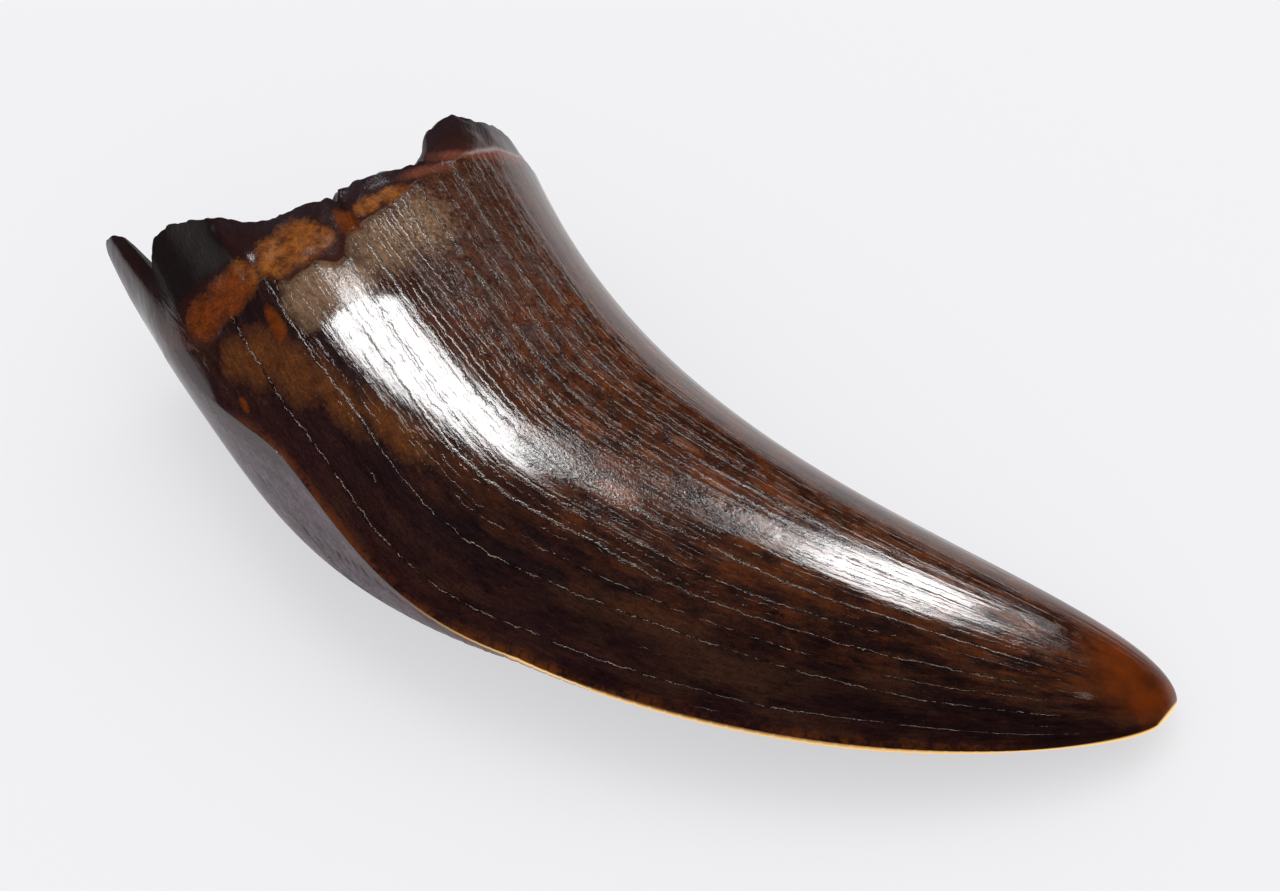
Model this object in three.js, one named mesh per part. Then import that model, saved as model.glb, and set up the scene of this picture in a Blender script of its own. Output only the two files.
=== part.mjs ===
import * as THREE from 'three';

// A fossil tyrannosaurus tooth: one curved crown with two serrated cutting edges, broken off at the
// root end across its hollow pulp cavity. It lies on its outer cheek with the tip towards +X.
// Millimetres, +Z up, origin on the floor under the middle of the tooth's box.
//
// Places on the crown are given by an angle round it, in degrees, and a share of the way to the tip.
// Angle 0 is the concave back edge, 90 the upper cheek, 180 the convex front edge, 270 the cheek below.

// The middle line of the crown, from the middle of the base to the tip, seen from above.
const middleLine = new THREE.CubicBezierCurve3(
  new THREE.Vector3(-12.4, 4.2, 0),
  new THREE.Vector3(-3.4, -4.6, 0),
  new THREE.Vector3(6.4, -3.6, 0),
  new THREE.Vector3(16.5, -0.05, 0),
);

const baseHalfBreadth = 6.5; // back edge to front edge is 13
const breadthTaper = [1.24, 0.487]; // the powers of its narrowing towards the tip
const baseHalfThickness = 3.8; // cheek to cheek is 7.6
const thicknessTaper = [1.8, 0.75];
const tipLift = 1.0; // how far the underside curves up off the floor by the tip
const liftStart = 0.3; // share of the way where that curve begins
const restingWear = 0.08; // how much of the lower cheek lies level on the floor
const baseStretch = 40; // millimetres of crown to one whole share, near the base

const backEdgeAngle = -8; // the back cutting edge sits a little below mid height
const frontEdgeBaseAngle = 151; // the front cutting edge twists onto the upper cheek near the base
const frontTwist = [0.2, 0.54]; // shares of the way between which it twists
const frontSway = 0.43; // the front edge runs in by this beside the base and out by it further on
const frontSwayShare = [0.22, 0.25]; // share where it crosses over, and the length of each bow
const cuttingEdgeHeight = 0.16;
const cuttingEdgeHalfWidth = 0.3;
const cuttingEdgeFade = [0.72, 0.93]; // shares of the way where the edges are worn off the tip

const serrationPitch = 0.42;
const serrationHeight = 0.1;
const serratedStretch = [0.13, 0.95];
const serrationCorners = [[0, 0], [0.3, 1], [0.7, 1]]; // share of a pitch, share of the height

const enamelThickness = 0.12;
const enamelLedgeHalfWidth = 0.2;

const cavityBreadthShare = 0.45; // the pulp cavity's width and thickness against the crown's
const cavityThicknessShare = 0.5;
const cavityUnevenness = 0.06;
const cavityMouth = 2.6; // millimetres up from the base
const cavityDepth = 6.5;

// How far up the crown the break reaches: angle, millimetres from the base.
const breakLine = [
  [0, 1.7], [16, 1.5], [22, 1.1], // low stretch beside the back edge
  [30, 0.8], [42, 0.9], [48, 0.75], [54, 1.2], [60, 1.8], [64, 2.7], [68, 3.2], // stub of root
  [74, 3.35], [87, 3.05], [92, 3.15], [94, 3.5], [96, 3.2], // nick where a crack runs out
  [112, 3.05], [119, 2.75], [125, 2.15], [132, 1.7], [143, 1.4], [150, 1.5], // upper cheek, down to the corner
  [155, 2.1], [158, 1.0], [162, 0.5], [167, 0.05], [172, 0.1], [178, 0.9], [186, 2.0], // splinter
  [200, 2.7], [218, 2.1], [236, 2.6], [252, 1.9], [270, 2.3], // lower cheek
  [290, 1.7], [305, 2.4], [322, 1.6], [340, 2.0], [360, 1.7],
];

// Where the enamel ends on the crown: angle, millimetres from the base.
const enamelLine = [
  [0, 2.3], [20, 2.3], [36, 2.4], [57, 3.35], [68, 3.9], [76, 4.4], [84, 4.8], [97, 5.0],
  [101, 5.9], [104, 6.0], [109, 5.5], [118, 5.6], [123, 5.0], [133, 5.0], [147, 5.4], [153, 5.4],
  [165, 4.6], [185, 3.6], [205, 3.9], [225, 4.8], [250, 5.2], [275, 4.6], [300, 3.6], [325, 2.8],
  [345, 2.5], [360, 2.3],
];

// The shell-shaped chip out of the base beside the front edge.
const chip = { angle: 139, height: 2.5, halfAngle: 15, halfHeight: 1.75, depth: 0.45 };

const columns = 80; // round the crown
const rowsToTip = 30;
const wallShares = [0.7, 0.4, 0.14]; // rings on the broken ground, as shares in from the skin
const cavityRows = 6;

const fossilMaterial = new THREE.MeshStandardMaterial({
  color: 0x3b1c0f, // dark chestnut enamel
  roughness: 0.22,
  metalness: 0,
});

const { clamp, lerp, smoothstep, degToRad, euclideanModulo } = THREE.MathUtils;

function taper(share, [power, outerPower]) {
  return (1 - clamp(share, 0, 1) ** power) ** outerPower;
}

function halfBreadth(share) {
  return baseHalfBreadth * taper(share, breadthTaper);
}

function halfThickness(share) {
  return baseHalfThickness * taper(share, thicknessTaper);
}

function middlePoint(share) {
  const lift = tipLift * Math.max(0, (share - liftStart) / (1 - liftStart)) ** 2;
  return middleLine.getPoint(share).setZ(halfThickness(share) + lift - restingWear);
}

function frontEdgeAngle(share) {
  return lerp(frontEdgeBaseAngle, 180, smoothstep(share, ...frontTwist));
}

// The height of a line round the crown, given as angle and height pairs.
function heightOn(line, angle) {
  const turned = euclideanModulo(angle, 360);
  const next = Math.max(1, line.findIndex(([lineAngle]) => lineAngle >= turned));
  const [angle0, height0] = line[next - 1];
  const [angle1, height1] = line[next];
  return lerp(height0, height1, (turned - angle0) / (angle1 - angle0));
}

// A point across and up from the middle line, at one share of the way.
function placeInSection(share, across, up) {
  const along = middleLine.getTangent(share);
  return middlePoint(share).add(new THREE.Vector3(-along.y * across, along.x * across, up));
}

// The crown's plain oval section, drawn out to an edge in front beyond the base.
function crownPoint(angle, share) {
  const turn = degToRad(angle);
  const frontness = smoothstep((1 - Math.cos(turn)) / 2, 0, 1);
  const frontPower = lerp(1, 1.8, smoothstep(share, 0.05, 0.45));
  const power = lerp(1.15, frontPower, frontness);
  const height = Math.sign(Math.sin(turn)) * Math.abs(Math.sin(turn)) ** power;
  const [swayMiddle, swayLength] = frontSwayShare;
  const swayWay = clamp((share - swayMiddle) / swayLength, -1, 1);
  const sway = frontSway * Math.sin(Math.PI * swayWay) * frontness;
  const across = halfBreadth(share) * Math.cos(turn) - sway;
  return placeInSection(share, across, halfThickness(share) * height);
}

function cavityPoint(angle, share, scale) {
  const turn = degToRad(angle);
  const uneven = 1 + cavityUnevenness * (Math.sin(2 * turn + 1) + Math.sin(5 * turn));
  const across = halfBreadth(share) * cavityBreadthShare * scale * uneven * Math.cos(turn);
  const up = halfThickness(share) * cavityThicknessShare * scale * uneven * Math.sin(turn);
  return placeInSection(share, across, up);
}

function outward(angle, share) {
  const round = crownPoint(angle + 0.5, share).sub(crownPoint(angle - 0.5, share));
  const below = Math.max(0, share - 0.002);
  const along = crownPoint(angle, share + 0.002).sub(crownPoint(angle, below));
  return round.cross(along).normalize();
}

function millimetresFromEdge(angle, edgeAngle, share) {
  const perDegree = crownPoint(edgeAngle + 1, share).distanceTo(crownPoint(edgeAngle, share));
  return Math.abs(euclideanModulo(angle - edgeAngle + 180, 360) - 180) * perDegree;
}

// How far the skin stands off the plain oval: cutting edges, the ledge where enamel ends, the chip.
function relief(angle, share) {
  const height = share * baseStretch;
  let offset = 0;
  for (const edge of [backEdgeAngle, frontEdgeAngle(share)]) {
    const ridge = Math.exp(-millimetresFromEdge(angle, edge, share) / cuttingEdgeHalfWidth);
    offset += cuttingEdgeHeight * ridge * (1 - smoothstep(share, ...cuttingEdgeFade));
  }
  const aboveLedge = height - heightOn(enamelLine, angle);
  offset -= enamelThickness * (1 - smoothstep(aboveLedge, -enamelLedgeHalfWidth, enamelLedgeHalfWidth));
  const chipReach = Math.hypot(
    (angle - chip.angle) / chip.halfAngle,
    (height - chip.height) / chip.halfHeight,
  );
  return offset - chip.depth * Math.max(0, 1 - chipReach ** 2);
}

function skinPoint(angle, share, raise = 0) {
  const offset = relief(angle, share) + raise;
  const point = crownPoint(angle, share).addScaledVector(outward(angle, share), offset);
  return point.setZ(Math.max(0, point.z));
}

// Columns crowd towards both cutting edges, so that a line of vertices follows each of them.
const frontColumn = columns / 2;

function columnAngle(column, share) {
  const way = (column % frontColumn) / frontColumn;
  const crowded = way - 0.6 * Math.sin(2 * Math.PI * way) / (2 * Math.PI);
  const front = frontEdgeAngle(share);
  return column < frontColumn
    ? lerp(backEdgeAngle, front, crowded)
    : lerp(front, backEdgeAngle + 360, crowded);
}

function ring(placeAt) {
  return Array.from({ length: columns }, (_, column) => placeAt(column));
}

// The uneven ground of the break, in millimetres from the base.
function brokenGround(angle, wallShare) {
  const turn = degToRad(angle);
  const swells = 0.35 * Math.sin(3 * turn + 0.7) + 0.2 * Math.sin(7 * turn);
  const splinters = 0.22 * Math.sin(17 * turn + 9 * wallShare) * Math.sin(5 * turn);
  return cavityMouth + 0.3 + (swells + splinters) * (1 - wallShare);
}

function cavityRings() {
  return Array.from({ length: cavityRows }, (_, row) => {
    const turn = 0.5 * Math.PI * (row + 0.4) / (cavityRows - 0.6);
    const share = (cavityMouth + cavityDepth * Math.cos(turn)) / baseStretch;
    const scale = Math.sin(turn);
    return ring((column) => cavityPoint(columnAngle(column, share), share, scale));
  });
}

function brokenRings() {
  return wallShares.map((wallShare) => ring((column) => {
    const angle = columnAngle(column, 0);
    const ground = smoothstep(wallShare, 0, 0.3);
    const height = lerp(heightOn(breakLine, angle), brokenGround(angle, wallShare), ground);
    const share = height / baseStretch;
    return skinPoint(angle, share).lerp(cavityPoint(angle, share, 1), wallShare);
  }));
}

// The skin's rings as places: from the break to the enamel's ledge, over it, and on to the tip.
function skinPlaces() {
  const places = [];
  for (const way of [0, 0.5, 1]) {
    places.push(ring((column) => {
      const angle = columnAngle(column, 0);
      const foot = heightOn(enamelLine, angle) - enamelLedgeHalfWidth;
      return { angle, share: lerp(heightOn(breakLine, angle), foot, way) / baseStretch };
    }));
  }
  for (let row = 0; row < rowsToTip; row += 1) {
    const way = 1 - (1 - row / rowsToTip) ** 1.6;
    places.push(ring((column) => {
      const top = heightOn(enamelLine, columnAngle(column, 0)) + enamelLedgeHalfWidth;
      const share = lerp(top / baseStretch, 1, way);
      return { angle: columnAngle(column, share), share };
    }));
  }
  return places;
}

// The corners of one cutting edge's serrations, as shares of the way with the height raised there.
function serrationsAlong(edgeAngleAt) {
  const corners = [];
  const step = 0.0005;
  let travelled = 0;
  for (let share = serratedStretch[0]; share < serratedStretch[1]; share += step) {
    const pitches = Math.floor(corners.length / serrationCorners.length);
    const [start, raise] = serrationCorners[corners.length % serrationCorners.length];
    if (travelled >= (pitches + start) * serrationPitch) {
      const worn = 1 - smoothstep(share, 0.8, serratedStretch[1]);
      corners.push({ share, raise: serrationHeight * raise * worn, valley: raise === 0 });
    }
    travelled += crownPoint(edgeAngleAt(share), share)
      .distanceTo(crownPoint(edgeAngleAt(share + step), share + step));
  }
  return corners;
}

// Two lines of points, from one ring to the next, joined by a strip of triangles.
function joinStrip(index, left, right) {
  let i = 0;
  let j = 0;
  while (i < left.length - 1 || j < right.length - 1) {
    const leftNext = i < left.length - 1 ? left[i].share + left[i + 1].share : Infinity;
    const rightNext = j < right.length - 1 ? right[j].share + right[j + 1].share : Infinity;
    if (leftNext < rightNext) {
      index.push(left[i].vertex, right[j].vertex, left[i + 1].vertex);
      i += 1;
    } else {
      index.push(left[i].vertex, right[j].vertex, right[j + 1].vertex);
      j += 1;
    }
  }
}

function middleOf(points) {
  const sum = points.reduce((total, point) => total.add(point), new THREE.Vector3());
  return sum.divideScalar(points.length);
}

function toothGeometry() {
  const inner = [...cavityRings(), ...brokenRings()];
  const places = skinPlaces();
  const skin = places.map((row) => row.map(({ angle, share }) => skinPoint(angle, share)));
  const rings = [...inner, ...skin];
  const points = [middleOf(rings[0]), ...rings.flat(), crownPoint(90, 1)];
  const tip = points.length - 1;
  const vertexAt = (row, column) => 1 + row * columns + (column + columns) % columns;
  const shareAt = (row, column) => places[row - inner.length]?.[(column + columns) % columns].share;

  // Between two rings a cutting edge has its serrations' corners, and the columns beside it have
  // a point at each valley. Every other column runs straight from ring to ring.
  const extraPoints = new Map();
  for (const [edgeColumn, angleAt] of [[0, () => backEdgeAngle], [frontColumn, frontEdgeAngle]]) {
    const corners = serrationsAlong(angleAt);
    const valleys = corners.filter(({ valley }) => valley);
    extraPoints.set(edgeColumn, corners);
    extraPoints.set((edgeColumn + 1) % columns, valleys);
    extraPoints.set((edgeColumn - 1 + columns) % columns, valleys);
  }
  const lineAt = (row, column) => {
    const from = shareAt(row, column) ?? row / rings.length;
    const to = shareAt(row + 1, column) ?? (row + 1) / rings.length;
    const between = [];
    for (const { share, raise } of extraPoints.get(column) ?? []) {
      if (row >= inner.length && share > from + 0.001 && share < to - 0.001) {
        points.push(skinPoint(columnAngle(column, share), share, raise));
        between.push({ vertex: points.length - 1, share });
      }
    }
    return [
      { vertex: vertexAt(row, column), share: from },
      ...between,
      { vertex: vertexAt(row + 1, column), share: to },
    ];
  };

  const index = [];
  const lastRow = rings.length - 1;
  for (let row = 0; row < lastRow; row += 1) {
    const lines = Array.from({ length: columns }, (_, column) => lineAt(row, column));
    lines.forEach((line, column) => joinStrip(index, line, lines[(column + 1) % columns]));
  }
  for (let column = 0; column < columns; column += 1) {
    index.push(0, vertexAt(0, column + 1), vertexAt(0, column));
    index.push(vertexAt(lastRow, column), vertexAt(lastRow, column + 1), tip);
  }
  const geometry = new THREE.BufferGeometry().setFromPoints(points);
  geometry.setIndex(index);
  geometry.computeVertexNormals();
  return geometry;
}

const tooth = new THREE.Mesh(toothGeometry(), fossilMaterial);
tooth.name = 'tooth';

const specimen = new THREE.Group();
specimen.add(tooth);

export default specimen;
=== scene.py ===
import math
import bpy
import numpy as np
from mathutils import Matrix, Vector


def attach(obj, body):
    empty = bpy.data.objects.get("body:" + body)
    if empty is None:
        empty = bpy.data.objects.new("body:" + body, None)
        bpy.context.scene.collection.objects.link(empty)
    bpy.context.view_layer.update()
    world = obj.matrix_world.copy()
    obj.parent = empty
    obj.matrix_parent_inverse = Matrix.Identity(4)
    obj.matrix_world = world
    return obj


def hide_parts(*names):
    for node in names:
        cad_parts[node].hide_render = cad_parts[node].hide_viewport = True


# A fossil tooth crown, rebuilt as one fine skin from the same named sizes as its solid.
# Sizes are in millimetres until the mesh is made, which is in metres.

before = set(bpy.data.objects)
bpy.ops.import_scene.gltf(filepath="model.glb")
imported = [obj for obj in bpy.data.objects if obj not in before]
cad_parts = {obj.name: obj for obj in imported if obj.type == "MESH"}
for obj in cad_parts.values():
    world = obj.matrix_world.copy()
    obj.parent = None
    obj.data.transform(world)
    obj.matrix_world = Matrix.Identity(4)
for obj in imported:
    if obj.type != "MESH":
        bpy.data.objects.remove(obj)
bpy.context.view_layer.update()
print("frame loaded")


# Small helpers for the shape.
def smoothStep(value, low, high):
    way = np.clip((value - low) / (high - low), 0, 1)
    return way * way * (3 - 2 * way)


def between(value, rise, fall):
    # 1 between a gradual rise and a gradual fall
    return smoothStep(value, *rise) * (1 - smoothStep(value, *fall))


def mixed(first, second, share):
    return first + (second - first) * share


def softNoise(places, seed):
    # smooth random swells from -1 to 1, one to a unit of length
    table = np.random.default_rng(seed).uniform(-1, 1, (32, 32, 32))
    cell = np.floor(places).astype(int)
    part = places - cell
    part = part * part * (3 - 2 * part)
    total = 0
    for corner in np.ndindex(2, 2, 2):
        weight = np.prod(np.where(corner, part, 1 - part), axis=-1)
        x, y, z = np.moveaxis((cell + corner) % 32, -1, 0)
        total = total + weight * table[x, y, z]
    return total


def inScene(name, data):
    made = bpy.data.objects.new(name, data)
    bpy.context.collection.objects.link(made)
    return made


# The crown. A place on it is an angle, from 0 at the back edge over the upper cheek to 180 at the
# front, and a share of the way from the base to the tip.
crown = {
    "middleLine": ((-12.4, 4.2), (-3.4, -4.6), (6.4, -3.6), (16.5, -0.05)),  # a Bezier curve's points
    "halfBreadth": 6.5,
    "breadthTaper": (1.24, 0.487),
    "halfThickness": 3.8,
    "thicknessTaper": (1.8, 0.75),
    "tipLift": 1.0,  # how far the tip rises off the floor
    "liftStart": 0.3,
    "restingWear": 0.08,  # worn level where it lies
    "stretch": 40.0,  # millimetres to one whole share of the way
    "frontSway": 0.43,  # how far the front edge sways from an even taper
    "frontSwayShare": (0.22, 0.25),
    "backPower": 1.15,  # 1 is an oval's end, more is a sharper one
    "frontPower": (1.0, 1.8),
    "frontPowerShare": (0.05, 0.45),
}

cuttingEdge = {
    "backAngle": -8.0,
    "frontAngle": 150.5,  # low on the crown; it twists round to 180
    "twist": (0.255, 0.54),
    "foot": 20.0,  # degrees by which its foot swings round at the base
    "footShare": (0.11, 0.25),
    "shoulder": 0.1,  # height of the broad swell under the foot
    "shoulderWidth": 0.9,
    "shoulderShare": (0.05, 0.1),
    "frontBegins": (0.12, 0.24),
    "height": 0.16,
    "halfWidth": 0.26,
    "fade": (0.72, 0.93),
    "pitch": 0.42,
    "denticle": 0.024,  # depth of the slit between two serrations
    "slit": 0.06,  # its width
    "flat": 0.9,  # how much of a serration is flat top
    "reach": 0.17,  # how far the slits run down either side
    "serrated": (0.13, 0.95),
    "wornNearBase": (0.1, 0.4),  # beyond where the serrations begin
    "wornNearTip": 0.8,
}


def taper(share, powers):
    return (1 - np.clip(share, 0, 1) ** powers[0]) ** powers[1]


def halfSizes(share):
    # half the section's breadth, and half its thickness
    return (crown["halfBreadth"] * taper(share, crown["breadthTaper"]),
            crown["halfThickness"] * taper(share, crown["thicknessTaper"]))


def middlePoint(share):
    share = np.asarray(share, float)[..., None]
    a, b, c, d = np.array(crown["middleLine"])
    rest = 1 - share
    flat = rest ** 3 * a + 3 * rest ** 2 * share * b + 3 * rest * share ** 2 * c + share ** 3 * d
    slope = 3 * rest ** 2 * (b - a) + 6 * rest * share * (c - b) + 3 * share ** 2 * (d - c)
    return flat, slope / np.linalg.norm(slope, axis=-1, keepdims=True)


def straightFrontAngle(share):
    return mixed(cuttingEdge["frontAngle"], 180, smoothStep(share, *cuttingEdge["twist"]))


def frontEdgeAngle(share):
    foot = cuttingEdge["foot"] * (1 - smoothStep(share, *cuttingEdge["footShare"]))
    return straightFrontAngle(share) + foot


def placeInSection(share, across, up):
    flat, along = middlePoint(share)
    lift = np.maximum(0, (share - crown["liftStart"]) / (1 - crown["liftStart"])) ** 2
    height = halfSizes(share)[1] + crown["tipLift"] * lift - crown["restingWear"] + up
    side = np.stack([-along[..., 1], along[..., 0]], -1)
    return np.concatenate([flat + side * across[..., None], height[..., None]], -1)


def crownPoint(angle, share):
    angle, share = np.broadcast_arrays(np.asarray(angle, float), np.asarray(share, float))
    turn = np.radians(angle)
    frontness = smoothStep((1 - np.cos(turn)) / 2, 0, 1)
    frontPower = mixed(*crown["frontPower"], smoothStep(share, *crown["frontPowerShare"]))
    power = mixed(crown["backPower"], frontPower, frontness)
    height = np.sign(np.sin(turn)) * np.abs(np.sin(turn)) ** power
    middle, length = crown["frontSwayShare"]
    sway = crown["frontSway"] * np.sin(np.pi * np.clip((share - middle) / length, -1, 1))
    halfBreadth, halfThickness = halfSizes(share)
    across = halfBreadth * np.cos(turn) - sway * frontness
    return placeInSection(share, across, halfThickness * height)


def outward(angle, share):
    around = crownPoint(angle + 0.5, share) - crownPoint(angle - 0.5, share)
    along = crownPoint(angle, share + 0.002) - crownPoint(angle, np.maximum(0, share - 0.002))
    normal = np.cross(around, along)
    return normal / np.maximum(np.linalg.norm(normal, axis=-1, keepdims=True), 1e-12)


def lengthsAlong(points):
    # millimetres travelled from the first of a row of points
    steps = np.linalg.norm(np.diff(points, axis=-2), axis=-1)
    return np.concatenate([np.zeros(steps.shape[:-1] + (1,)), np.cumsum(steps, axis=-1)], -1)


# Columns round the crown, spaced by real lengths.
meshing = {
    "upperColumns": 196,
    "lowerColumns": 112,
    "rows": 196,
    "split": 4,  # finer rows beside the cutting edges
    "band": 7,  # columns each side of an edge that have them
    "groundRings": 22,
    "cavityRings": 14,
    "crowding": (0.62, 9),  # how much narrower columns are at an edge, and for how many
    "lowRow": 0.55,  # height of the lowest row beside a full one
    "lowRows": 70,  # rows over which it grows
    "tipRows": 16,
    "sharp": 52,  # degrees between faces from which a crease is left sharp
}
columns = meshing["upperColumns"] + meshing["lowerColumns"]
frontColumn = meshing["upperColumns"]
tableShares = np.linspace(0, 0.9995, 200)


def crowdedFractions(count):
    # steps narrow beside both cutting edges
    step = np.arange(count) + 0.5
    less, reach = meshing["crowding"]
    width = 1 - less * np.exp(-(step / reach) ** 2) - less * np.exp(-((count - step) / reach) ** 2)
    return np.concatenate([[0], np.cumsum(width)]) / width.sum()


def halfTable(start, end, count):
    # each column's angle, and how far it is from the half's start and end, at each share
    way = mixed(start, end, np.linspace(0, 1, 900))
    arc = lengthsAlong(crownPoint(way, tableShares[:, None]))
    total = arc[:, -1:]
    here = crowdedFractions(count)[:-1] * total
    angles = [np.interp(*row) for row in zip(here, arc, way)]
    return np.array(angles), here, total - here


backAngle = cuttingEdge["backAngle"]
frontAngles = frontEdgeAngle(tableShares)[:, None]
upperHalf = halfTable(backAngle, frontAngles, meshing["upperColumns"])
lowerHalf = halfTable(frontAngles, backAngle + 360, meshing["lowerColumns"])
angleTable = np.hstack([upperHalf[0], lowerHalf[0]])
fromBackTable = np.hstack([upperHalf[1], lowerHalf[2]])
fromFrontTable = np.hstack([upperHalf[2], lowerHalf[1]])


def lookUp(table, share):
    # share has one value for each row and column
    place = np.clip(share / tableShares[-1], 0, 1) * (len(tableShares) - 1)
    low = np.minimum(place.astype(int), len(tableShares) - 2)
    column = np.broadcast_to(np.arange(columns), share.shape)
    return mixed(table[low, column], table[low + 1, column], place - low)


baseAngles = angleTable[0]
around = lengthsAlong(crownPoint(np.append(baseAngles, baseAngles[0] + 360), 0.1))  # near the base
girth = around[-1]


def footLengths():
    # millimetres by which the foot of the front edge has swung aside
    way = mixed(straightFrontAngle(tableShares)[:, None], frontEdgeAngle(tableShares)[:, None],
                np.linspace(0, 1, 12))
    return lengthsAlong(crownPoint(way, tableShares[:, None]))[:, -1]


footTable = footLengths()
print("columns laid out,", round(float(girth), 1), "mm round")


# Outlines of the break and of the enamel.
brokenBase = {
    "line": (  # angle, millimetres up from the base
        (0, 1.7), (16, 1.5), (22, 1.1), (30, 0.8), (42, 0.9), (48, 0.75), (54, 1.2), (59.5, 1.75),
        (61.5, 2.05), (62.2, 2.4), (64.5, 2.9), (66.5, 3.25), (74, 3.35), (87, 3.05), (92, 3.15),
        (94, 3.5), (96, 3.2), (112, 3.05), (119, 2.7), (125, 2.05), (132, 1.55), (143, 1.2),
        (150, 1.25), (155, 1.6), (157.5, 2.0), (159.5, 1.1), (161.5, 0.4), (164, 0.15), (172, 0.1),
        (175, 0.35), (178, 1.0), (186, 2.0), (200, 2.7), (218, 2.1), (236, 2.6), (252, 1.9),
        (270, 2.3), (290, 1.7), (305, 2.4), (322, 1.6), (340, 2.0), (360, 1.7),
    ),
    "jagged": {"jag": 0.05, "fineJag": 0.08},
    "groundNoise": 0.2,
    "groundSpread": (9, 2.5),  # millimetres of noise across the break, and from rim to mouth
    "groundSwells": ((0.35, 3, 0.7), (0.2, 7, 0)),  # height, number round, turn
    "splinters": 0.22,
    "aboveMouth": 0.3,
    "cavityBreadth": 0.45,
    "cavityThickness": 0.5,
    "cavityUnevenness": 0.06,
    "cavityGrit": 0.03,
    "cavityMouth": 2.6,
    "cavityDepth": 6.5,
    "recess": 0.55,  # how far the break is sunk behind the rim of the upper cheek
    "recessed": (92, 26),  # where, in degrees
    "chip": {"sides": (129.5, 161), "walls": (3, 12), "top": 3.75, "slope": 0.12},  # degrees, mm
}

enamel = {
    "line": (
        (0, 2.3), (20, 2.3), (36, 2.4), (57, 3.35), (68, 3.9), (76, 4.4), (84, 4.8), (97, 5.0),
        (101, 5.9), (104, 6.0), (109, 5.5), (118, 5.6), (123, 5.0), (133, 5.0), (147, 5.4),
        (153, 5.4), (165, 4.6), (185, 3.6), (205, 3.9), (225, 4.8), (250, 5.2), (275, 4.6),
        (300, 3.6), (325, 2.8), (345, 2.5), (360, 2.3),
    ),
    "thickness": 0.12,
    "ledge": 0.15,  # half width of the step at its end
    "neck": 0.066,  # slope by which the cheek falls away towards its margin
    "neckLine": ((80, 8.8), (99, 8.2), (112, 7.7), (125, 7.5)),  # where that starts
    "bareSlope": 0.05,  # further slope of the dentine below the margin
    "raggedness": 0.16,
    "wrinkle": 0.0045,  # height of the long wrinkles
    "swell": 0.018,  # height of the broader, longer swells
    "fine": 0.4,  # height of the finest wrinkles beside the long ones
    "cheek": (72, 94),  # degrees over which the neck's slope begins
    "bareCheek": (60, 84),
    "cheekEnds": (128, 150),
    "frontFace": ((148, 156), (185, 200)),  # where the ledge is lower
    "frontLedge": 0.2,
    "smoothTip": (0.93, 1),
}

dentine = {
    "lump": 0.022,  # height of its broad lumps
    "grit": 0.008,
    "chipSmooth": 0.6,  # how much smoother the chip's floor is
}


def heightOn(line, angle):
    angles, heights = np.array(line).T
    return np.interp(np.mod(angle, 360), angles, heights)


def grainOf(height):
    # the crown unrolled onto a tube of its base's girth, so that a pattern narrows to the tip
    swung = np.interp(height / crown["stretch"], tableShares, footTable)
    upper = around[:-1] * (1 + swung / around[frontColumn])
    lower = girth - (girth - around[:-1]) * (1 - swung / (girth - around[frontColumn]))
    turn = 2 * np.pi * np.where(np.arange(columns) < frontColumn, upper, lower) / girth
    radius = girth / (2 * np.pi)
    return np.stack([np.cos(turn) * radius, np.sin(turn) * radius, height], -1)


grains = {  # swells to a millimetre, in that tube's two ways across and along it; seed
    "ragged": ((1.7, 1.7, 0.9), 3),
    "swell": ((0.7, 0.7, 0.1), 5),
    "wrinkle": ((2.6, 2.6, 0.16), 7),
    "fine": ((4.5, 4.5, 0.3), 8),
    "lump": ((1.5, 1.5, 1.1), 9),
    "grit": ((5, 5, 5), 10),
    "jag": ((2.2, 2.2, 2.2), 11),
    "fineJag": ((6, 6, 6), 12),
    "crust": ((1, 1, 1.6), 13),
    "crumbs": ((3, 3, 3), 14),
    "cavityWall": ((1, 1, 2), 15),
}


def grainNoise(name, grain):
    scales, seed = grains[name]
    return softNoise(grain * scales, seed)


degreeLength = 0.095  # millimetres to a degree, round the cheek near the base

skinMarks = {  # raised lines, and grooves where the height is below nothing
    "chipWall": {"line": ((129, 2.3), (125.5, 3.8)), "height": 0.055, "halfWidth": 0.2},
    "nickCrack": {"line": ((94, 3.2), (92, 5.8)), "height": -0.12, "halfWidth": 0.07},
    "frontCrack": {
        "line": ((169.0, 11.1), (164.5, 12.7), (162.5, 13.6), (164.3, 14.8), (169.2, 16.3)),
        "height": -0.012, "halfWidth": 0.06},
}


def markAlong(mark, angle, height):
    # 1 on a line through places given as angle and height, falling off beside it
    found = 0
    for start, end in zip(mark["line"], mark["line"][1:]):
        place = np.stack([(angle - start[0]) * degreeLength, height - start[1]], -1)
        line = np.array([(end[0] - start[0]) * degreeLength, end[1] - start[1]])
        way = np.clip(place @ line / (line @ line), 0, 1)
        away = np.linalg.norm(place - way[..., None] * line, axis=-1)
        found = np.maximum(found, np.exp(-(away / mark["halfWidth"]) ** 2))
    return found


crowding = {  # degrees from the back edge, and shares of the way, over which the cracks thin out
    "across": (82, 101),
    "along": (0.32, 0.66),
    "thinned": 0.7,
    "few": 0.25,
    "fewAcross": (112, 130),
    "fewAlong": (0.5, 0.7),
}


def crowdedCracks(angle, share):
    # 1 where the hairline cracks crowd: the back half of the cheek, near the base
    across = np.abs(np.mod(angle + 180, 360) - 180)
    thinning = 1 - crowding["thinned"] * smoothStep(share, *crowding["along"])
    crowd = (1 - smoothStep(across, *crowding["across"])) * thinning
    few = 1 - smoothStep(share, *crowding["fewAlong"])
    return np.maximum(crowd, crowding["few"] * (1 - smoothStep(across, *crowding["fewAcross"])) * few)


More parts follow.
